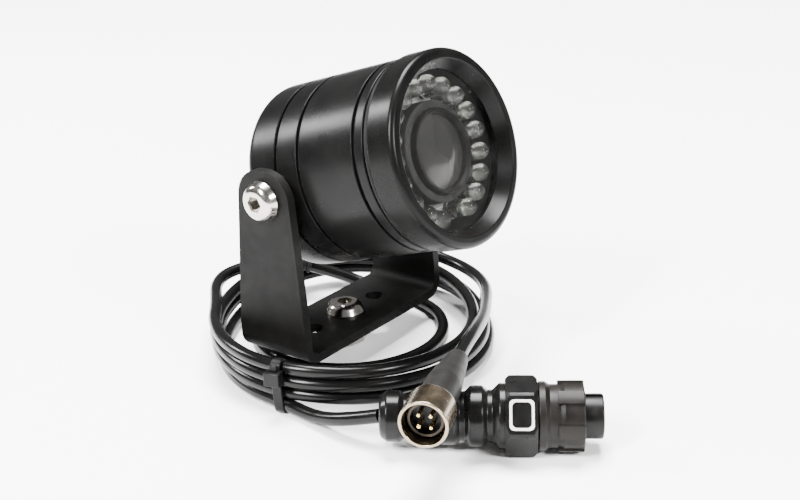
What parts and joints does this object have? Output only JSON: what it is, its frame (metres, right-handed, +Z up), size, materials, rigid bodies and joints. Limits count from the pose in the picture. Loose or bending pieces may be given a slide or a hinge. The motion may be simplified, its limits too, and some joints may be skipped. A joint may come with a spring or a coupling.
{
  "type": "backup camera",
  "caption": "Round bullet camera with lamps behind a flat window, on a tilting U-bracket, with a tied pigtail lead ending in a ribbed plug and a small metal connector.",
  "frame": {"origin": "where the base bolt's end meets the surface that the unit stands on, under the centre hole of the bracket's base", "axes": "+X along the tilt axis, -Y the side that the lens looks to, +Z up through the base bolt"},
  "size_m": [0.1036, 0.1353, 0.0882],
  "materials": {
    "housing_black": "satin black anodised aluminium with faint turning lines",
    "bracket_black": "matte black powder coat, fine texture",
    "stainless": "bright stainless fastener",
    "clear_window": "clear flat window",
    "lens_glass": "coated dark front element",
    "led_clear": "clear moulded lamp body",
    "board_green": "solder-masked board, white front mask",
    "sensor_green": "green solder-masked board",
    "seal_rubber": "black silicone seal",
    "baffle_foam": "dense black foam rubber",
    "lens_black": "black anodised lens barrel",
    "chip": "chip with glass lid",
    "photocell": "light sensor face",
    "brass": "plain turned brass",
    "header_white": "natural nylon connector",
    "gland_black": "black nylon gland",
    "cable_black": "glossy black PVC jacket",
    "overmould_grey": "matte dark grey overmould",
    "tie_black": "black nylon tie",
    "boot_black": "glossy black ribbed rubber",
    "plug_black": "glossy black glass-filled nylon",
    "collar_dark": "dark warm grey nylon, semi matte",
    "nickel": "warm nickel-plated brass, softly worn",
    "gold_pin": "gold-flashed contact"
  },
  "bodies": {
    "bracket": {"mounting_bracket": "bracket_black", "base_bolt": "stainless", "base_nut": "stainless", "trunk_lead": "cable_black", "lead_tee": "overmould_grey", "lead_coil": "cable_black", "cable_tie": "tie_black", "plug_lead": "cable_black", "branch_lead": "cable_black", "plug_boot": "boot_black", "plug_backshell": "plug_black", "plug_shell": "plug_black", "plug_insert": "plug_black", "plug_pins": "gold_pin", "branch_overmould": "overmould_grey", "branch_shell": "nickel", "branch_insert": "plug_black", "branch_pins": "gold_pin"},
    "camera": {"barrel_housing": "housing_black", "front_ring": "housing_black", "ring_seal": "seal_rubber", "window_seal": "seal_rubber", "front_window": "clear_window", "led_board": "board_green", "infrared_leds": "led_clear", "photocell": "photocell", "light_baffle": "baffle_foam", "lens_barrel": "lens_black", "lens_front_element": "lens_glass", "lens_rear_element": "lens_glass", "lens_holder": "lens_black", "image_sensor": "chip", "sensor_board": "sensor_green", "board_standoffs": "brass", "board_screws": "stainless", "board_header": "header_white", "header_plug": "header_white", "inner_lead": "cable_black", "gland_body": "gland_black", "gland_locknut": "gland_black", "gland_seal": "seal_rubber", "gland_nut": "gland_black", "pivot_screws": "stainless", "pivot_spacers": "gland_black"},
    "plug_ring": {"plug_coupling_ring": "collar_dark"},
    "branch_nut": {"branch_coupling_nut": "nickel"}
  },
  "joints": [
    {"name": "camera_tilt", "type": "hinge", "parent": "bracket", "child": "camera", "pos_m": [0, 0, 0.0515], "axis": [-1, 0, 0], "range_deg": [-35, 60], "deforming": ["trunk_lead"]},
    {"name": "plug_ring_turn", "type": "hinge", "parent": "bracket", "child": "plug_ring", "pos_m": [-0.0417, -0.0447, 0.0086], "axis": [0.5519, -0.8339, 0], "continuous": true},
    {"name": "branch_nut_turn", "type": "hinge", "parent": "bracket", "child": "branch_nut", "pos_m": [-0.0239, -0.0554, 0.0196], "axis": [-0.9304, -0.3665, 0], "continuous": true}
  ]
}
